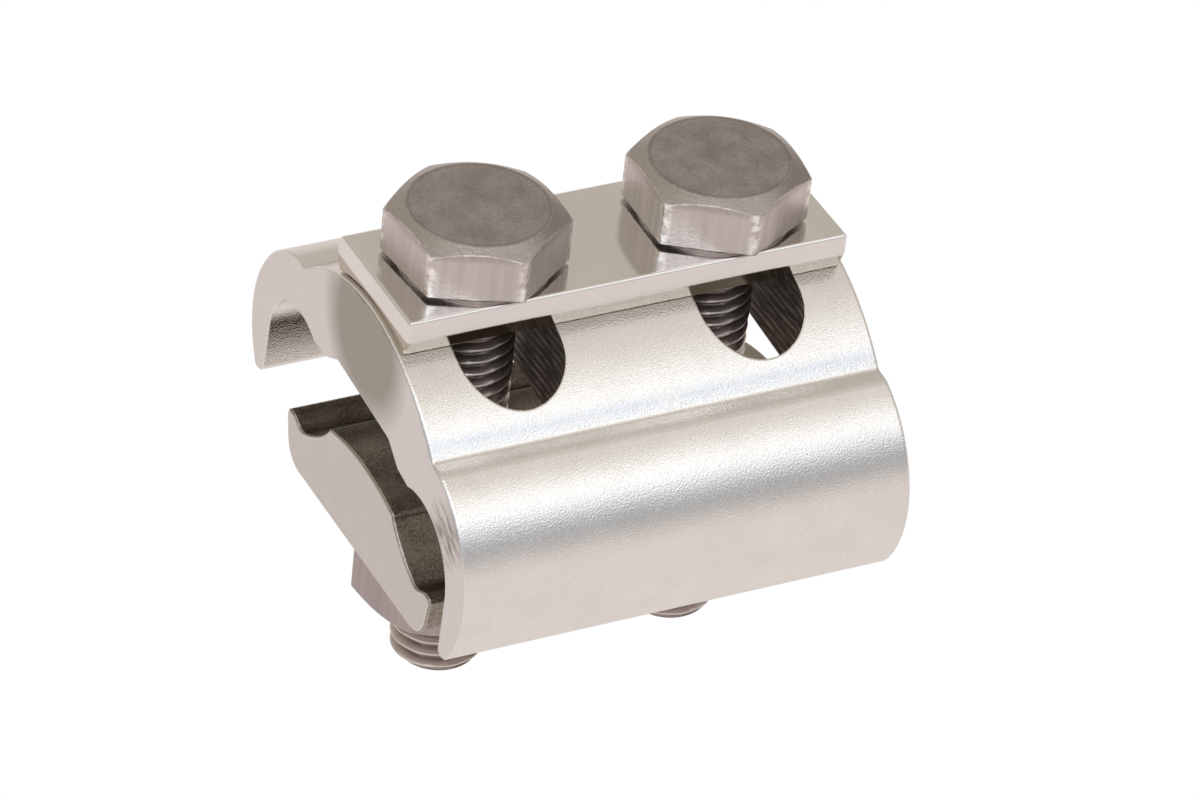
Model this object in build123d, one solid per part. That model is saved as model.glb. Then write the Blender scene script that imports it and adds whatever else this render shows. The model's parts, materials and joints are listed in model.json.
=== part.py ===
from build123d import *
import os
from math import cos, hypot, radians, sin, sqrt, tan

# A parallel groove clamp has two open grooves side by side. An extruded upper
# body forms their walls, and a jaw is drawn up from below by two hexagon bolts.
# A saddle plate under the heads lets the body lean when the grooves hold round
# stock of different sizes. X runs along the grooves and Z along the bolts.
# Each profile is drawn in its own plane: across the grooves, then upwards.
# All sizes are millimetres and degrees.

# Upper body, an extruded section with a lobe over each groove
body_length = 50.7
crown_radius = 22.3
web_thickness = 11.3
groove_radius = 7.1
groove_reach = 15.1
groove_depth = 19.55
groove_mouth_angle = -2.0
groove_roof_angle = 118.0
lobe_wall = 4.1
lobe_radius = 12.8
lobe_centre_rise = 0.85
valley_reach = 15.8
valley_round = 0.8
shoulder_round = 3.0
tip_depth = 6.7
tip_tuck = -0.2
tip_round = 0.85
ridge_reach = 9.1
ridge_depth = 1.75
ridge_round = 0.8
recess_width = 12.8
recess_round = 1.2
end_break = 0.25

# Slots across the upper body, which let the bolts lean with the saddle plate
slot_width = 11.6
slot_length = 26.6

# Saddle plate, a strip hollowed below to sit on the crown
plate_length = 49.5
plate_width = 17.3
plate_waist = 3.0
plate_edge_height = 2.4
plate_foot_chamfer = 0.9
plate_back_round = 1.6
plate_front_round = 0.35
saddle_clearance = 0.1
lean = 5.2

# Hexagon bolts and nuts with a metric thread
thread_diameter = 10.0
bolt_length = 50.0
bolt_spacing = 27.2
bolt_hole_clearance = 0.5
across_flats = 16.75
head_height = 6.4
head_crown_diameter = 14.9
head_crown_angle = 30.0
washer_face_diameter = 15.8
washer_face_height = 0.5
corner_round = 0.4
thread_tip_chamfer = 1.0
left_head_turn = -24.5
right_head_turn = -31.7
nut_height = 8.0
nut_face_diameter = 15.6
nut_countersink = 0.5
nut_running_clearance = 0.05
left_nut_turn = -16.0
right_nut_turn = -8.0

# Lower jaw, an extruded section with a flat foot for the nuts
jaw_length = 48.8
jaw_width = 35.4
jaw_depth = 11.1
jaw_drop = 34.4
seat_width = 15.6
seat_crown_radius = 26.0
seat_edge_round = 0.6
seat_step = 0.5
trough_reach = 14.2
trough_height = 5.15
trough_sag = 0.5
trough_round = 1.6
jaw_tip_height = 6.05
jaw_tip_land = 1.5
jaw_tip_round = 0.6
jaw_flank_draft = 1.2
jaw_foot_round = 3.4

# Places worked out from the sizes above, with Z = 0 on the saddle plate's top
saddle_radius = crown_radius + saddle_clearance
lean_centre_height = -(plate_waist + saddle_radius)
groove_rise = crown_radius - groove_depth
bolt_places = {"left": -bolt_spacing / 2, "right": bolt_spacing / 2}
bolt_hole_radius = thread_diameter / 2 + bolt_hole_clearance
groove_axis_y = groove_reach * cos(radians(lean)) - groove_rise * sin(radians(lean))
groove_axis_z = (
    lean_centre_height
    + groove_reach * sin(radians(lean))
    + groove_rise * cos(radians(lean))
)

# The model's origin is the middle of the rear groove's axis
to_origin = Pos(0, -groove_axis_y, -groove_axis_z)
across = Plane.YZ


def round_pair(face, corner, radius):
    """Round the corner nearest to a point, and its mirror image."""
    for side in (1, -1):
        spot = Vector(side * corner[0], corner[1])
        vertex = min(face.vertices(), key=lambda v: (Vector(*v) - spot).length)
        face = fillet(vertex, radius)
    return face


def symmetric_face(half):
    """Close a half outline, which starts and ends on the centre line, with its mirror image."""
    outline = Curve() + half
    return make_face(outline + mirror(outline, about=Plane.YZ))


def extrude_along(face, length):
    """Extrude a section along the grooves, centred, with its end edges broken."""
    bar = extrude(across * face, length / 2, both=True)
    ends = [bar.faces().sort_by(Axis.X)[0], bar.faces().sort_by(Axis.X)[-1]]
    return chamfer([edge for end in ends for edge in end.edges()], end_break)


def upper_body():
    """Upper body about the centre of its crown, before it leans."""
    lobe_centre = (
        groove_reach + groove_radius + lobe_wall - lobe_radius,
        groove_rise + lobe_centre_rise,
    )
    web_underside = crown_radius - web_thickness
    tip_height = groove_rise - tip_depth
    wall_at_tip = groove_reach + groove_radius - tip_tuck

    def on_groove(angle):
        return (
            groove_reach + groove_radius * cos(radians(angle)),
            groove_rise + groove_radius * sin(radians(angle)),
        )

    def lobe_reach(height):
        return lobe_centre[0] + sqrt(lobe_radius**2 - (height - lobe_centre[1]) ** 2)

    crown = (0, crown_radius)
    valley = (valley_reach, sqrt(crown_radius**2 - valley_reach**2))
    valley_middle = (valley_reach / 2, sqrt(crown_radius**2 - (valley_reach / 2) ** 2))
    shoulder = (lobe_reach(valley[1]), valley[1])
    lobe_side = (lobe_centre[0] + lobe_radius, lobe_centre[1])
    tip_outer = (lobe_reach(tip_height), tip_height)
    tip_inner = (wall_at_tip, tip_height)
    groove_mouth = on_groove(groove_mouth_angle)
    groove_middle = on_groove((groove_mouth_angle + groove_roof_angle) / 2)
    groove_roof = on_groove(groove_roof_angle)
    ridge = (ridge_reach, web_underside - ridge_depth)
    recess_corner = (recess_width / 2, web_underside)

    section = symmetric_face(
        [
            ThreePointArc(crown, valley_middle, valley),
            Line(valley, shoulder),
            ThreePointArc(shoulder, lobe_side, tip_outer),
            Line(tip_outer, tip_inner),
            Line(tip_inner, groove_mouth),
            ThreePointArc(groove_mouth, groove_middle, groove_roof),
            Line(groove_roof, ridge),
            Line(ridge, recess_corner),
            Line(recess_corner, (0, web_underside)),
        ]
    )
    for corner, radius in (
        (valley, valley_round),
        (shoulder, shoulder_round),
        (tip_outer, tip_round),
        (tip_inner, tip_round),
        (ridge, ridge_round),
        (recess_corner, recess_round),
    ):
        section = round_pair(section, corner, radius)

    body = extrude_along(section, body_length)
    slot = extrude(SlotOverall(slot_length, slot_width, rotation=90), crown_radius + groove_radius)
    for x in bolt_places.values():
        body -= Pos(x, 0, 0) * slot
    return body


def saddle_plate():
    """Saddle plate with its top at Z = 0 and its hollow about the lean centre."""
    half_width = plate_width / 2
    foot = half_width - plate_foot_chamfer
    foot_height = lean_centre_height + sqrt(saddle_radius**2 - foot**2)
    outline = [
        Line((-half_width, 0), (half_width, 0)),
        Line((half_width, 0), (half_width, -plate_edge_height)),
        Line((half_width, -plate_edge_height), (foot, foot_height)),
        ThreePointArc((foot, foot_height), (0, -plate_waist), (-foot, foot_height)),
        Line((-foot, foot_height), (-half_width, -plate_edge_height)),
        Line((-half_width, -plate_edge_height), (-half_width, 0)),
    ]
    section = make_face(outline)
    for y, radius in ((half_width, plate_back_round), (-half_width, plate_front_round)):
        corner = Vector(y, 0)
        vertex = min(section.vertices(), key=lambda v: (Vector(*v) - corner).length)
        section = fillet(vertex, radius)
    plate = extrude_along(section, plate_length)
    hole = Cylinder(bolt_hole_radius, 2 * plate_width)
    for x in bolt_places.values():
        plate -= Pos(x, 0, 0) * hole
    return plate


def hexagon(height):
    """Upright hexagon bar on Z = 0 with its long edges slightly rounded."""
    bar = extrude(RegularPolygon(across_flats / 2, 6, major_radius=False), height)
    return fillet(bar.edges().filter_by(Axis.Z), corner_round)


def crowned_blank(height, top_radius, crown_both=False):
    """Turned blank whose faces slope off from top_radius at the crown angle."""
    corner_reach = across_flats / sqrt(3) + corner_round
    fall = (corner_reach - top_radius) * tan(radians(head_crown_angle))
    foot = [(top_radius, 0), (corner_reach, fall)] if crown_both else [(corner_reach, 0)]
    crown = [(corner_reach, height - fall), (top_radius, height)]
    outline = Polyline((0, 0), *foot, *crown, (0, height), close=True)
    return revolve(Plane.XZ * make_face(outline), Axis.Z)


def hexagon_bolt(turn):
    """Bolt with the seat of its head on Z = 0."""
    prism_height = head_height - washer_face_height
    head = hexagon(prism_height) & crowned_blank(prism_height, head_crown_diameter / 2)
    head = Pos(0, 0, washer_face_height) * Rot(0, 0, turn) * head
    seat = extrude(Circle(washer_face_diameter / 2), washer_face_height)
    shank = extrude(Circle(thread_diameter / 2), -bolt_length)
    tip = shank.faces().sort_by(Axis.Z)[0]
    shank = chamfer(tip.edges(), thread_tip_chamfer)
    return head + seat + shank


def hexagon_nut(turn):
    """Nut with its lower face on Z = 0."""
    nut = hexagon(nut_height) & crowned_blank(nut_height, nut_face_diameter / 2, crown_both=True)
    bore_radius = thread_diameter / 2 + nut_running_clearance
    nut -= extrude(Circle(bore_radius), nut_height)
    mouths = nut.edges().filter_by(GeomType.CIRCLE).filter_by(lambda e: abs(e.radius - bore_radius) < 0.01)
    return Rot(0, 0, turn) * chamfer(mouths, nut_countersink)


def lower_jaw():
    """Jaw with its foot on Z = 0."""
    half_width = jaw_width / 2
    half_seat = seat_width / 2
    seat_edge_height = jaw_depth - seat_crown_radius + sqrt(seat_crown_radius**2 - half_seat**2)
    crown = (0, jaw_depth)
    crown_middle = (
        half_seat / 2,
        jaw_depth - seat_crown_radius + sqrt(seat_crown_radius**2 - (half_seat / 2) ** 2),
    )
    seat_edge = (half_seat, seat_edge_height)
    seat_foot = (half_seat + seat_step / 2, seat_edge_height - seat_step)
    trough = (trough_reach, trough_height)
    chord = (trough[0] - seat_foot[0], trough[1] - seat_foot[1])
    chord_length = hypot(*chord)
    trough_middle = (
        (seat_foot[0] + trough[0]) / 2 + trough_sag * chord[1] / chord_length,
        (seat_foot[1] + trough[1]) / 2 - trough_sag * chord[0] / chord_length,
    )
    tip_outer = (half_width, jaw_tip_height)
    tip_inner = (half_width - jaw_tip_land, jaw_tip_height)
    foot_corner = (half_width - jaw_flank_draft, 0)

    section = symmetric_face(
        [
            ThreePointArc(crown, crown_middle, seat_edge),
            Line(seat_edge, seat_foot),
            ThreePointArc(seat_foot, trough_middle, trough),
            Line(trough, tip_inner),
            Line(tip_inner, tip_outer),
            Line(tip_outer, foot_corner),
            Line(foot_corner, (0, 0)),
        ]
    )
    for corner, radius in (
        (seat_edge, seat_edge_round),
        (trough, trough_round),
        (tip_inner, jaw_tip_round),
        (tip_outer, jaw_tip_round),
        (foot_corner, jaw_foot_round),
    ):
        section = round_pair(section, corner, radius)

    jaw = extrude_along(section, jaw_length)
    hole = Cylinder(bolt_hole_radius, 2 * jaw_depth)
    for x in bolt_places.values():
        jaw -= Pos(x, 0, 0) * hole
    return jaw


pieces = {
    "upper_clamp_body": Pos(0, 0, lean_centre_height) * Rot(lean, 0, 0) * upper_body(),
    "saddle_plate": saddle_plate(),
    "lower_jaw": Pos(0, 0, -jaw_drop) * lower_jaw(),
}
head_turns = {"left": left_head_turn, "right": right_head_turn}
nut_turns = {"left": left_nut_turn, "right": right_nut_turn}
for side, x in bolt_places.items():
    pieces["hex_bolt_" + side] = Pos(x, 0, 0) * hexagon_bolt(head_turns[side])
    pieces["hex_nut_" + side] = Pos(x, 0, -jaw_drop - nut_height) * hexagon_nut(nut_turns[side])

os.makedirs("parts", exist_ok=True)
for name, piece in pieces.items():
    export_step(to_origin * piece, os.path.join("parts", name + ".step"))
print("rear groove axis above and behind the plate's middle:", groove_axis_z, groove_axis_y)
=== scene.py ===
import json
import math

import bpy
from mathutils import Matrix, Vector


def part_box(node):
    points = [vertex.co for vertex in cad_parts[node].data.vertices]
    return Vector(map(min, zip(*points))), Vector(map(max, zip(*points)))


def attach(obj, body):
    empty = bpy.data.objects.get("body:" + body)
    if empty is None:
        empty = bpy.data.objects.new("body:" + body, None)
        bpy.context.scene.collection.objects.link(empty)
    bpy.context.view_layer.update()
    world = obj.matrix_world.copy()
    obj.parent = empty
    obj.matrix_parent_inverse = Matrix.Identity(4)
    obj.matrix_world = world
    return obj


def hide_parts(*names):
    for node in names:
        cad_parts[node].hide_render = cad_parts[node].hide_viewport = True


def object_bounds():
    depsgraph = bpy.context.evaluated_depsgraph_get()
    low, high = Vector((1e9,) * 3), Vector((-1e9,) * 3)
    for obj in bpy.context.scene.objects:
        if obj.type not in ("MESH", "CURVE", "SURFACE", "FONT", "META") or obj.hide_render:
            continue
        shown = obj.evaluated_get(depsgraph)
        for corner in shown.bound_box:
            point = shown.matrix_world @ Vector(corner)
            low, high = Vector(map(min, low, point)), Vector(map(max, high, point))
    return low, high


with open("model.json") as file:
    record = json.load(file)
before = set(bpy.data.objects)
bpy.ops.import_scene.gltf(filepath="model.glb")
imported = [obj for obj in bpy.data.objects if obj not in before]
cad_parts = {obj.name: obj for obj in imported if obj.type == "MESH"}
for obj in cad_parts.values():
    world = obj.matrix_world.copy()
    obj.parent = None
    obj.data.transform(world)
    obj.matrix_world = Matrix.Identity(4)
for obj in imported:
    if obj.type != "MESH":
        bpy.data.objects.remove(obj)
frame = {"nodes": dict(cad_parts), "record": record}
cad_low, cad_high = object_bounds()
bpy.ops.object.select_all(action="DESELECT")

# The camera stands where the photograph's stood: in front, to the left and above,
# about 70 cm from the clamp, and turned a little about its own axis.
camera_place = (-0.28931, -0.52456, 0.42013)
camera_azimuth = math.radians(29.816)
camera_elevation = math.radians(35.596)
camera_roll = math.radians(6.481)

camera_data = bpy.data.cameras.new("camera")
camera_data.lens = 209.05
camera_data.sensor_width = 36.0
camera_data.clip_start = 0.01
camera_data.clip_end = 20.0
camera = bpy.data.objects.new("camera", camera_data)
bpy.context.scene.collection.objects.link(camera)
camera.matrix_world = (
    Matrix.Translation(camera_place)
    @ Matrix.Rotation(-camera_azimuth, 4, "Z")
    @ Matrix.Rotation(math.pi / 2 - camera_elevation, 4, "X")
    @ Matrix.Rotation(camera_roll, 4, "Z")
)
bpy.context.scene.camera = camera
bpy.context.scene.view_settings.view_transform = "Standard"

# White paper far below the clamp, which hangs from its rear groove. The camera sees it
# pure white, and the metal reflects it as a warm light grey.
floor_drop = 0.045
floor_half = 3.0
floor_reflected = (0.77, 0.70, 0.67, 1)


def show_white(tree, output_kind, white_kind, lit):
    """Let the camera see pure white, and everything else the lit shader."""
    output = tree.nodes.new(output_kind)
    white = tree.nodes.new(white_kind)
    white.inputs["Color"].default_value = (1, 1, 1, 1)
    path = tree.nodes.new("ShaderNodeLightPath")
    choose = tree.nodes.new("ShaderNodeMixShader")
    tree.links.new(path.outputs["Is Camera Ray"], choose.inputs[0])
    tree.links.new(lit.outputs[0], choose.inputs[1])
    tree.links.new(white.outputs[0], choose.inputs[2])
    tree.links.new(choose.outputs[0], output.inputs["Surface"])


bpy.ops.mesh.primitive_plane_add(size=2 * floor_half, location=(0, 0, cad_low.z - floor_drop))
floor = bpy.context.object
floor.name = "floor"
paper = bpy.data.materials.new("paper")
paper.use_nodes = True
paper.node_tree.nodes.clear()
glow = paper.node_tree.nodes.new("ShaderNodeEmission")
glow.inputs["Color"].default_value = floor_reflected
show_white(paper.node_tree, "ShaderNodeOutputMaterial", "ShaderNodeEmission", glow)
floor.data.materials.append(paper)

# The studio's light, by height above the horizon: in front a broad bright screen with
# a bluish gap below it and a warm ceiling above, and a plain beige room behind.
front_bands = (
    (0.00, (0.68, 0.63, 0.60, 1)),
    (0.08, (0.60, 0.57, 0.55, 1)),
    (0.20, (0.40, 0.40, 0.405, 1)),
    (0.37, (0.41, 0.43, 0.47, 1)),
    (0.52, (0.80, 0.85, 0.90, 1)),
    (0.62, (1.30, 1.32, 1.35, 1)),
    (0.76, (1.32, 1.32, 1.32, 1)),
    (0.84, (0.92, 0.89, 0.85, 1)),
    (0.91, (0.72, 0.67, 0.61, 1)),
    (1.00, (0.58, 0.53, 0.47, 1)),
)
room_colour = (0.53, 0.49, 0.435, 1)
room_start = -0.05
room_full = 0.35
wall_colour = (0.36, 0.325, 0.29, 1)
wall_start = 0.50
wall_full = 0.72
softbox_place = Vector((-0.25, -0.35, 0.75))


def blend_across(tree, coordinate, start, full, before, after):
    """Blend one colour into another along a coordinate, from its start to where it is full."""
    share = tree.nodes.new("ShaderNodeMapRange")
    share.inputs["From Min"].default_value = start
    share.inputs["From Max"].default_value = full
    tree.links.new(coordinate, share.inputs["Value"])
    blend = tree.nodes.new("ShaderNodeMix")
    blend.data_type = "RGBA"
    tree.links.new(share.outputs["Result"], blend.inputs["Factor"])
    tree.links.new(before, blend.inputs["A"])
    blend.inputs["B"].default_value = after
    return blend.outputs["Result"]


world = bpy.data.worlds.new("studio")
bpy.context.scene.world = world
world.use_nodes = True
studio = world.node_tree
studio.nodes.clear()
direction = studio.nodes.new("ShaderNodeTexCoord")
towards = studio.nodes.new("ShaderNodeSeparateXYZ")
studio.links.new(direction.outputs["Generated"], towards.inputs[0])
front = studio.nodes.new("ShaderNodeValToRGB")
ramp = front.color_ramp.elements
ramp[0].position, ramp[0].color = front_bands[0]
ramp[1].position, ramp[1].color = front_bands[-1]
for spot, band_colour in front_bands[1:-1]:
    ramp.new(spot).color = band_colour
studio.links.new(towards.outputs["Z"], front.inputs[0])
around = blend_across(
    studio, towards.outputs["Y"], room_start, room_full, front.outputs["Color"], room_colour
)
around = blend_across(studio, towards.outputs["X"], wall_start, wall_full, around, wall_colour)
light = studio.nodes.new("ShaderNodeBackground")
studio.links.new(around, light.inputs["Color"])
show_white(studio, "ShaderNodeOutputWorld", "ShaderNodeBackground", light)

lamp_data = bpy.data.lights.new("softbox", "AREA")
lamp_data.shape = "RECTANGLE"
lamp_data.size = 0.5
lamp_data.size_y = 0.35
lamp_data.energy = 0.8
lamp = bpy.data.objects.new("softbox", lamp_data)
bpy.context.scene.collection.objects.link(lamp)
lamp.location = softbox_place
lamp.rotation_euler = (-softbox_place).to_track_quat("-Z", "Y").to_euler()

# The upper body is an extrusion of bright tin-plated copper: granular on its crown and
# lobes, satin on its sawn ends, and inside its slots dark with painted shade and slanted
# cutter marks.
body_lean = math.radians(5.2)
body_half = cad_high.x
crown_radius = 0.0223
end_skin = 0.00012
slot_half_width = 0.0058
slot_half_straight = 0.0075
slot_skin = 0.00003
joints = {joint["name"]: joint.get("pos_m") for joint in frame["record"]["behaviour"]["joints"]}
lean_axis = joints["saddle_lean"]
bolt_reach = joints["bolt_right_turn"][0]


class Metal:
    """A metal material whose nodes are added and joined by short calls."""

    def __init__(self, name):
        self.material = bpy.data.materials.new(name)
        self.material.use_nodes = True
        self.nodes = self.material.node_tree.nodes
        self.links = self.material.node_tree.links
        self.shader = self.nodes["Principled BSDF"]
        self.shader.inputs["Metallic"].default_value = 1.0
        self.place = self.add("ShaderNodeTexCoord").outputs["Object"]

    def add(self, kind, **settings):
        """New node, with its settings."""
        node = self.nodes.new(kind)
        for name, value in settings.items():
            setattr(node, name, value)
        return node

    def put(self, node, socket, value):
        """Join a socket's value, or set it as a constant."""
        if isinstance(value, bpy.types.NodeSocket):
            self.links.new(value, node.inputs[socket])
        else:
            node.inputs[socket].default_value = value

    def maths(self, operation, first, second=0.0, third=0.0):
        """One step of arithmetic."""
        node = self.add("ShaderNodeMath", operation=operation)
        for socket, value in enumerate((first, second, third)):
            self.put(node, socket, value)
        return node.outputs[0]

    def times(self, first, second):
        """Product of two values."""
        return self.maths("MULTIPLY", first, second)

    def outside(self, mask):
        """1 where a mask is 0, and 0 where it is 1."""
        return self.maths("SUBTRACT", 1.0, mask)

    def split(self, vector):
        """The three coordinates of a vector."""
        node = self.add("ShaderNodeSeparateXYZ")
        self.put(node, 0, vector)
        return node.outputs

    def length(self, x, y, z=0.0):
        """Length of the vector with these three coordinates."""
        vector = self.add("ShaderNodeCombineXYZ")
        for socket, value in enumerate((x, y, z)):
            self.put(vector, socket, value)
        node = self.add("ShaderNodeVectorMath", operation="LENGTH")
        self.put(node, 0, vector.outputs[0])
        return node.outputs["Value"]

    def frame(self, shift=(0, 0, 0), turn=(0, 0, 0), size=(1, 1, 1)):
        """Object coordinates as seen from a shifted, turned and stretched frame."""
        node = self.add("ShaderNodeMapping", vector_type="TEXTURE")
        self.put(node, "Vector", self.place)
        self.put(node, "Location", shift)
        self.put(node, "Rotation", turn)
        self.put(node, "Scale", size)
        return node.outputs[0]

    def noise(self, per_metre, detail=3.0, vector=None, rough=0.5):
        """Cloudy noise with about this many clouds to a metre."""
        node = self.add("ShaderNodeTexNoise")
        self.put(node, "Vector", vector or self.place)
        self.put(node, "Scale", per_metre)
        self.put(node, "Detail", detail)
        self.put(node, "Roughness", rough)
        return node.outputs["Fac"]

    def step(self, value, low, high):
        """0 at low and 1 at high, with a straight slope between them."""
        node = self.add("ShaderNodeMapRange")
        self.put(node, "Value", value)
        self.put(node, "From Min", low)
        self.put(node, "From Max", high)
        return node.outputs["Result"]

    def band(self, value, middle, half):
        """1 at the middle, falling to 0 at half a band's width away."""
        return self.step(self.maths("ABSOLUTE", self.maths("SUBTRACT", value, middle)), half, 0.0)

    def blob(self, vector, centre, radius):
        """1 at the centre, falling to 0 at the radius."""
        away = self.add("ShaderNodeVectorMath", operation="DISTANCE")
        self.put(away, 0, vector)
        self.put(away, 1, centre)
        return self.step(away.outputs["Value"], radius, 0.0)

    def mix(self, amount, first, second):
        """The first colour where the amount is 0, and the second where it is 1."""
        node = self.add("ShaderNodeMix", data_type="RGBA")
        self.put(node, "Factor", amount)
        self.put(node, "A", first)
        self.put(node, "B", second)
        return node.outputs["Result"]

    def bevel(self, radius):
        """The surface's direction with its sharp edges rounded."""
        node = self.add("ShaderNodeBevel", samples=6)
        self.put(node, "Radius", radius)
        return node.outputs[0]

    def edges(self, rounded):
        """1 along sharp edges and 0 on the faces between them."""
        flat = self.add("ShaderNodeNewGeometry").outputs["Normal"]
        alike = self.add("ShaderNodeVectorMath", operation="DOT_PRODUCT")
        self.put(alike, 0, rounded)
        self.put(alike, 1, flat)
        return self.step(alike.outputs["Value"], 0.99, 0.90)

    def paint_edge_wear_and_highlight(self, colour, rounded, strength, bright):
        """The colour with its edges made bright, partly as wear and partly as painted highlight."""
        return self.mix(self.times(self.edges(rounded), strength), colour, bright)

    def finish(self, colour, roughness, height, relief, rounded):
        """Give the shader its colour, its roughness and a relief of this depth."""
        bump = self.add("ShaderNodeBump")
        self.put(bump, "Height", height)
        self.put(bump, "Distance", relief)
        self.put(bump, "Normal", rounded)
        self.put(self.shader, "Base Color", colour)
        self.put(self.shader, "Roughness", roughness)
        self.put(self.shader, "Normal", bump.outputs["Normal"])

    def wear(self, *names):
        """Give the material to CAD nodes."""
        for name in names:
            data = frame["nodes"][name].data
            data.materials.clear()
            data.materials.append(self.material)


tin = Metal("tinned_body")
section = tin.frame(shift=(0, lean_axis[1], lean_axis[2]), turn=(body_lean, 0, 0))
along, outwards, upwards = tin.split(section)
on_end = tin.maths("GREATER_THAN", tin.maths("ABSOLUTE", along), body_half - end_skin)
past_straight = tin.maths("SUBTRACT", tin.maths("ABSOLUTE", outwards), slot_half_straight)
past_straight = tin.maths("MAXIMUM", past_straight, 0.0)
beside_slot = tin.maths("SUBTRACT", tin.maths("ABSOLUTE", along), bolt_reach)
from_slot = tin.length(beside_slot, past_straight)
in_slot = tin.maths("LESS_THAN", from_slot, slot_half_width + slot_skin)

# Crown and lobes: soft patches, tiny white specks of painted glint, and a faint blue painted
# reflection along the front of the crown.
patches_per_metre = 260
patch_dark = (0.84, 0.82, 0.79, 1)
patch_light = (0.95, 0.93, 0.91, 1)
painted_glints_per_metre = 3200
painted_glint_strength = 0.7
painted_glint_colour = (1.0, 1.0, 1.0, 1)
crown_skin = 0.0003
blue_reflection_angle = math.radians(41.3)
blue_reflection_half = math.radians(3.2)
painted_blue_reflection_colour = (0.73, 0.755, 0.80, 1)

colour = tin.mix(tin.noise(patches_per_metre), patch_dark, patch_light)
# Painted glints: tiny white specks painted into the colour.
painted_glints = tin.step(tin.noise(painted_glints_per_metre, rough=0.6), 0.62, 0.68)
colour = tin.mix(tin.times(painted_glints, painted_glint_strength), colour, painted_glint_colour)
crown_angle = tin.maths("ARCTAN2", tin.times(outwards, -1.0), upwards)
on_crown = tin.band(tin.length(0.0, outwards, upwards), crown_radius, crown_skin)
# A faint blue painted reflection, in a band along the front of the crown.
painted_blue_reflection = tin.times(tin.band(crown_angle, blue_reflection_angle, blue_reflection_half), on_crown)
painted_blue_reflection = tin.times(painted_blue_reflection, tin.step(tin.noise(patches_per_metre, detail=2.0), 0.05, 0.55))
colour = tin.mix(painted_blue_reflection, colour, painted_blue_reflection_colour)

# Sawn ends: plain grey, darker just under the plate in a round painted shade, with a torn
# streaky spot beside the front shoulder.
end_clouds_per_metre = 500
end_dark = (0.76, 0.735, 0.72, 1)
end_light = (0.81, 0.785, 0.77, 1)
painted_shade_centre = (-body_half, 0.0012, 0.0185)
painted_shade_radius = 0.0105
painted_shade_strength = 0.8
painted_shade_colour = (0.28, 0.255, 0.205, 1)
torn_centre = (-body_half, -0.0208, 0.0105)
torn_radius = 0.0042
torn_slant = 0.5
torn_stretch = 4
torn_colour = (0.30, 0.28, 0.27, 1)
streaks_per_metre = 1500

end_colour = tin.mix(tin.noise(end_clouds_per_metre), end_dark, end_light)
# A round painted shade on the end, just under the plate.
painted_shade = tin.step(tin.blob(section, painted_shade_centre, painted_shade_radius), 0.03, 0.40)
end_colour = tin.mix(tin.times(painted_shade, painted_shade_strength), end_colour, painted_shade_colour)
torn_frame = tin.frame(turn=(torn_slant, 0, 0), size=(1, torn_stretch, 1))
torn_streaks = tin.step(tin.noise(streaks_per_metre, 4.0, torn_frame), 0.35, 0.6)
torn = tin.step(tin.blob(section, torn_centre, torn_radius), 0.0, 0.7)
end_colour = tin.mix(tin.times(torn, torn_streaks), end_colour, torn_colour)
colour = tin.mix(on_end, colour, end_colour)

# Slot walls: slanted cutter marks on a dark painted shade, lit in streaks of painted highlight.
cut_slant = 0.35
cuts_per_metre = 360.0
cut_waviness = 2.5
cut_waves_per_metre = 300.0
cut_stretch = 4
slot_painted_shade = (0.14, 0.11, 0.09, 1)
cut_painted_highlight = (0.80, 0.72, 0.66, 1)

cuts = tin.add("ShaderNodeTexWave", bands_direction="Z")
tin.put(cuts, "Vector", tin.frame(turn=(0, cut_slant, 0)))
tin.put(cuts, "Scale", cuts_per_metre)
tin.put(cuts, "Distortion", cut_waviness)
tin.put(cuts, "Detail Scale", cut_waves_per_metre)
cut_frame = tin.frame(turn=(0, cut_slant, 0), size=(cut_stretch, cut_stretch, 1))
painted_highlight_streaks = tin.step(tin.noise(streaks_per_metre, vector=cut_frame), 0.35, 0.7)
# The slot walls' dark is painted shade, and the light on their cutter marks is painted highlight.
slot_cuts_and_painted_light = tin.mix(tin.times(cuts.outputs["Fac"], painted_highlight_streaks), slot_painted_shade, cut_painted_highlight)
colour = tin.mix(in_slot, colour, slot_cuts_and_painted_light)

# Bright edges, partly worn and partly painted highlight, and the body's relief: grain outside,
# and cutter marks in the slots.
body_edge = 0.00028
edge_wear_and_highlight_spots_per_metre = 900
edge_wear_and_highlight_strength = 0.9
edge_wear_and_highlight_colour = (1.0, 0.97, 0.92, 1)
grains_per_metre = 5600
fine_grains_per_metre = 7000
fine_grain_share = 0.25
cut_depth_share = 0.8
body_relief = 0.000035
body_roughness = 0.12
end_extra_roughness = 0.17
slot_extra_roughness = 0.25

rounded = tin.bevel(body_edge)
# Edges made bright in spots, partly as wear and partly as painted highlight.
edge_wear_and_highlight = tin.times(tin.step(tin.noise(edge_wear_and_highlight_spots_per_metre), 0.3, 0.6), edge_wear_and_highlight_strength)
colour = tin.paint_edge_wear_and_highlight(colour, rounded, edge_wear_and_highlight, edge_wear_and_highlight_colour)
grain = tin.noise(grains_per_metre, detail=2.0, rough=0.6)
fine_grain = tin.noise(fine_grains_per_metre, detail=2.0)
grain = tin.maths("MULTIPLY_ADD", fine_grain, fine_grain_share, grain)
grain = tin.times(grain, tin.outside(tin.maths("MAXIMUM", on_end, in_slot)))
cut_height = tin.times(tin.times(cuts.outputs["Fac"], in_slot), cut_depth_share)
roughness = tin.maths("MULTIPLY_ADD", on_end, end_extra_roughness, body_roughness)
roughness = tin.maths("MULTIPLY_ADD", in_slot, slot_extra_roughness, roughness)
tin.finish(colour, roughness, tin.maths("ADD", grain, cut_height), body_relief, rounded)
tin.wear("upper_clamp_body")

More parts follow.
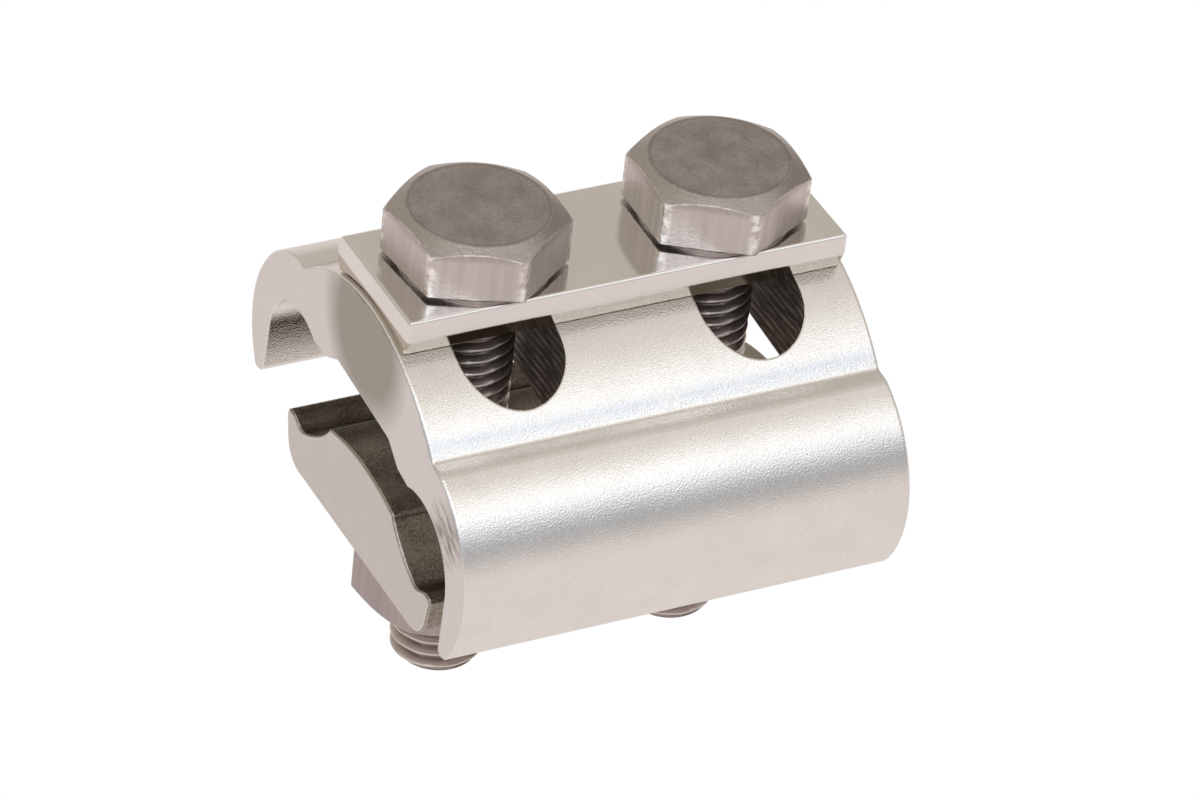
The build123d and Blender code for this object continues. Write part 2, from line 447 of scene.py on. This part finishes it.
# The saddle plate is drawn strip with a smooth bright tin plate: a soft mirror with
# faint drawing lines, thin bright edges of painted highlight, and a browner foot of
# painted shadow beside the body.
plate_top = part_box("saddle_plate")[1].z
foot_depth = 0.0024
foot_blend = 0.0002
painted_foot_shadow_colour = (0.52, 0.47, 0.40, 1)
plate_clouds_per_metre = 300
plate_dark = (0.84, 0.81, 0.79, 1)
plate_light = (0.90, 0.88, 0.86, 1)
drawn_lines_per_metre = 3000
drawn_stretch = 40
drawn_share = 0.15
plate_edge = 0.0002
plate_edge_highlight_strength = 0.9
plate_edge_highlight_colour = (1.0, 0.98, 0.95, 1)
plate_relief = 0.00001
plate_roughness = 0.13

plate = Metal("tinned_plate")
clouds = plate.noise(plate_clouds_per_metre)
lines = plate.noise(drawn_lines_per_metre, 2.0, plate.frame(size=(drawn_stretch, 1, 1)))
rounded = plate.bevel(plate_edge)
colour = plate.mix(clouds, plate_dark, plate_light)
# Thin painted highlights along the plate's edges.
colour = plate.paint_edge_wear_and_highlight(colour, rounded, plate_edge_highlight_strength, plate_edge_highlight_colour)
height = plate.split(plate.place)[2]
# A painted shadow browns the plate's foot, where it meets the body.
painted_foot_shadow = plate.step(height, plate_top - foot_depth, plate_top - foot_depth - foot_blend)
colour = plate.mix(painted_foot_shadow, colour, painted_foot_shadow_colour)
relief = plate.maths("MULTIPLY_ADD", lines, drawn_share, clouds)
plate.finish(colour, plate_roughness, relief, plate_relief, rounded)
plate.wear("saddle_plate")

# The lower jaw is a sawn extrusion: light grey ends, and a rough dull brown surface
# along its length with bright grains and a bright edge, partly worn and partly painted
# highlight.
jaw_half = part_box("lower_jaw")[1].x
jaw_grains_per_metre = 3600
jaw_dark = (0.17, 0.145, 0.11, 1)
jaw_light = (0.50, 0.46, 0.40, 1)
rubbed_spots_per_metre = 330
rubbed_strength = 0.45
rubbed_colour = (0.44, 0.40, 0.35, 1)
jaw_end_clouds_per_metre = 420
jaw_end_dark = (0.64, 0.61, 0.59, 1)
jaw_end_light = (0.72, 0.69, 0.67, 1)
jaw_edge = 0.00028
jaw_edge_wear_and_highlight_strength = 0.85
jaw_edge_wear_and_highlight_colour = (1.0, 0.97, 0.93, 1)
jaw_relief = 0.00005
jaw_roughness = 0.3

jaw = Metal("tinned_jaw")
along = jaw.split(jaw.place)[0]
on_end = jaw.maths("GREATER_THAN", jaw.maths("ABSOLUTE", along), jaw_half - end_skin)
grain = jaw.noise(jaw_grains_per_metre, 4.0, rough=0.65)
dull = jaw.mix(jaw.step(grain, 0.40, 0.75), jaw_dark, jaw_light)
rubbed = jaw.step(jaw.noise(rubbed_spots_per_metre), 0.35, 0.65)
dull = jaw.mix(jaw.times(rubbed, rubbed_strength), dull, rubbed_colour)
end_colour = jaw.mix(jaw.noise(jaw_end_clouds_per_metre), jaw_end_dark, jaw_end_light)
colour = jaw.mix(on_end, dull, end_colour)
rounded = jaw.bevel(jaw_edge)
# Edges made bright, partly as wear and partly as painted highlight.
colour = jaw.paint_edge_wear_and_highlight(colour, rounded, jaw_edge_wear_and_highlight_strength, jaw_edge_wear_and_highlight_colour)
jaw.finish(colour, jaw_roughness, jaw.times(grain, jaw.outside(on_end)), jaw_relief, rounded)
jaw.wear("lower_jaw")

# The nuts are cold formed stainless steel, brown-grey with upright streaks. They sit
# under the jaw, one on each bolt.
steel_stretch = 14
nut_streaks_per_metre = 1400
nut_dark = (0.34, 0.295, 0.29, 1)
nut_light = (0.56, 0.50, 0.50, 1)
nut_edge = 0.0003
nut_edge_wear_and_highlight_strength = 0.7
nut_edge_wear_and_highlight_colour = (0.95, 0.92, 0.88, 1)
nut_relief = 0.00002
steel_roughness = 0.32

nut = Metal("stainless_nuts")
streaks = nut.noise(nut_streaks_per_metre, 4.0, nut.frame(size=(1, 1, steel_stretch)))
rounded = nut.bevel(nut_edge)
colour = nut.mix(streaks, nut_dark, nut_light)
# Edges made bright, partly as wear and partly as painted highlight.
colour = nut.paint_edge_wear_and_highlight(colour, rounded, nut_edge_wear_and_highlight_strength, nut_edge_wear_and_highlight_colour)
nut.finish(colour, steel_roughness, streaks, nut_relief, rounded)
nut.wear("hex_nut_left", "hex_nut_right")

# The bolts are stainless steel: forged heads kept from the solids, and shanks with a
# real metric thread, shaped from a grid that is rolled up and sewn into a tube.
thread_pitch = 0.0015
thread_major = 0.005
thread_minor = 0.00408
thread_root_share = 0.25
thread_flank_share = 0.625
tip_chamfer = 0.001
rows_per_pitch = 10
thread_columns = 72
sew_distance = 0.000002
smooth_angle = math.radians(24)
cut_under_seat = 0.0001
seat_lift = 0.00003


def sew_and_turn_out(fill_holes):
    """Sew the active mesh's loose points together, and turn all its faces outwards."""
    bpy.ops.object.mode_set(mode="EDIT")
    bpy.ops.mesh.select_all(action="SELECT")
    bpy.ops.mesh.remove_doubles(threshold=sew_distance)
    if fill_holes:
        bpy.ops.mesh.fill_holes(sides=0)
    bpy.ops.mesh.select_all(action="SELECT")
    bpy.ops.mesh.normals_make_consistent(inside=False)
    bpy.ops.object.mode_set(mode="OBJECT")


def thread_radius(height, turn_share):
    """Radius of the thread at one height, seen in the direction of this share of a turn."""
    from_root = abs((height / thread_pitch - turn_share) % 1.0 - 0.5) * 2
    rise = min(max((from_root - thread_root_share) / thread_flank_share, 0.0), 1.0)
    return thread_minor + (thread_major - thread_minor) * rise


def threaded_shank(axis_x, axis_y, low, high):
    """Closed threaded rod along Z, with a chamfered tip."""
    rows = round((high - low) / thread_pitch * rows_per_pitch)
    bpy.ops.mesh.primitive_grid_add(x_subdivisions=thread_columns, y_subdivisions=rows, size=2)
    rod = bpy.context.object
    for vertex in rod.data.vertices:
        turn_share = (vertex.co.x + 1) / 2
        angle = 2 * math.pi * turn_share
        z = low + (high - low) * (vertex.co.y + 1) / 2
        radius = min(thread_radius(z, turn_share), thread_major - tip_chamfer + z - low)
        vertex.co = (axis_x + radius * math.cos(angle), axis_y + radius * math.sin(angle), z)
    sew_and_turn_out(fill_holes=True)
    return rod


def forged_head(name, solid):
    """Copy of a bolt's solid, cut off just under its seat and lifted a little off the plate."""
    head = bpy.data.objects.new(name, solid.data.copy())
    bpy.context.scene.collection.objects.link(head)
    bpy.ops.object.select_all(action="DESELECT")
    head.select_set(True)
    bpy.context.view_layer.objects.active = head
    bpy.ops.mesh.customdata_custom_splitnormals_clear()
    sew_and_turn_out(fill_holes=False)
    bpy.ops.object.mode_set(mode="EDIT")
    bpy.ops.mesh.select_all(action="SELECT")
    bpy.ops.mesh.bisect(
        plane_co=(0, 0, plate_top - cut_under_seat), plane_no=(0, 0, 1), use_fill=True, clear_inner=True
    )
    bpy.ops.object.mode_set(mode="OBJECT")
    sew_and_turn_out(fill_holes=False)
    for vertex in head.data.vertices:
        if abs(vertex.co.z - plate_top) < seat_lift:
            vertex.co.z += seat_lift
    return head


# The heads are streaked on their sides, mottled and tarnished on top inside a pressed
# ring, and nicked bright at their corners, partly with painted highlight. The thread has
# painted highlight on its crests and painted shade in its roots.
top_skin = 0.00004
slope_foot = 0.0016
slope_top = 0.0010
ring_radius = 0.0072
ring_half = 0.00016
ring_strength = 0.5
ring_colour = (0.22, 0.19, 0.175, 1)
dent_rim = 0.0062
dent_floor = 0.0045
dent_share = 7.0
corner_start = 0.0092
corner_full = 0.0095
side_streaks_per_metre = 1300
side_dark = (0.50, 0.46, 0.44, 1)
side_light = (0.78, 0.725, 0.715, 1)
mottles_per_metre = 2600
slope_dark = (0.40, 0.36, 0.34, 1)
slope_light = (0.62, 0.57, 0.54, 1)
top_dark = (0.40, 0.355, 0.34, 1)
top_light = (0.56, 0.51, 0.49, 1)
tarnish_per_metre = 330
tarnish_strength = 0.45
tarnish_colour = (0.24, 0.20, 0.18, 1)
painted_highlight_from_radius = 0.0042
thread_root_painted_shade = (0.33, 0.28, 0.26, 1)
thread_crest_painted_highlight = (0.80, 0.73, 0.70, 1)
bolt_edge = 0.00022
nick_and_highlight_spots_per_metre = 1200
nick_and_highlight_colour = (1.0, 0.98, 0.95, 1)
lumps_per_metre = 620
bolt_relief = 0.00005


def bolt_steel(name, axis_x, axis_y, top):
    """Stainless steel for one bolt, laid out about its own axis."""
    steel = Metal(name)
    x, y, z = steel.split(steel.place)
    from_axis = steel.length(steel.maths("SUBTRACT", x, axis_x), steel.maths("SUBTRACT", y, axis_y))
    on_top = steel.maths("GREATER_THAN", z, top - top_skin)
    on_thread = steel.maths("LESS_THAN", z, plate_top - cut_under_seat)
    on_slope = steel.step(z, top - slope_foot, top - slope_top)

    streaks = steel.noise(side_streaks_per_metre, 4.0, steel.frame(size=(1, 1, steel_stretch)))
    mottle = steel.noise(mottles_per_metre, 4.0, rough=0.6)
    tarnish = steel.step(steel.noise(tarnish_per_metre), 0.4, 0.7)
    ring = steel.band(from_axis, ring_radius, ring_half)
    top_colour = steel.mix(steel.step(mottle, 0.3, 0.7), top_dark, top_light)
    top_colour = steel.mix(steel.times(tarnish, tarnish_strength), top_colour, tarnish_colour)
    top_colour = steel.mix(steel.times(ring, ring_strength), top_colour, ring_colour)
    # Painted light on the thread: highlight on its crests, shade in its roots.
    painted_crest_highlight = steel.step(from_axis, painted_highlight_from_radius, thread_major)
    thread_painted_light = steel.mix(painted_crest_highlight, thread_root_painted_shade, thread_crest_painted_highlight)
    colour = steel.mix(streaks, side_dark, side_light)
    colour = steel.mix(on_slope, colour, steel.mix(mottle, slope_dark, slope_light))
    colour = steel.mix(on_top, colour, top_colour)
    colour = steel.mix(on_thread, colour, thread_painted_light)

    rounded = steel.bevel(bolt_edge)
    corner = steel.step(from_axis, corner_start, corner_full)
    # Nicks, partly painted highlight, brighten the head's edges and corners.
    nicks_and_highlights = steel.step(steel.noise(nick_and_highlight_spots_per_metre), 0.42, 0.6)
    nicked_and_highlit = steel.times(steel.maths("MAXIMUM", steel.edges(rounded), corner), nicks_and_highlights)
    on_head = steel.outside(on_thread)
    colour = steel.mix(steel.times(nicked_and_highlit, on_head), colour, nick_and_highlight_colour)

    dent = steel.times(on_top, steel.step(from_axis, dent_rim, dent_floor))
    dent = steel.times(dent, dent_share)
    relief = steel.maths("MULTIPLY_ADD", steel.noise(lumps_per_metre), dent, mottle)
    steel.finish(colour, steel_roughness, steel.times(relief, on_head), bolt_relief, rounded)
    return steel.material


for side in ("left", "right"):
    solid_name = "hex_bolt_" + side
    axis_x, axis_y = joints["bolt_" + side + "_turn"][:2]
    bolt_low, bolt_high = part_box(solid_name)
    rod = threaded_shank(axis_x, axis_y, bolt_low.z, plate_top)
    bolt = forged_head("threaded_bolt_" + side, frame["nodes"][solid_name])
    rod.select_set(True)
    bpy.ops.object.join()
    bpy.ops.object.shade_smooth_by_angle(angle=smooth_angle)
    bolt.data.materials.clear()
    bolt.data.materials.append(bolt_steel("stainless_bolt_" + side, axis_x, axis_y, bolt_high.z))
    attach(bolt, "bolt_" + side)
    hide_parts(solid_name)
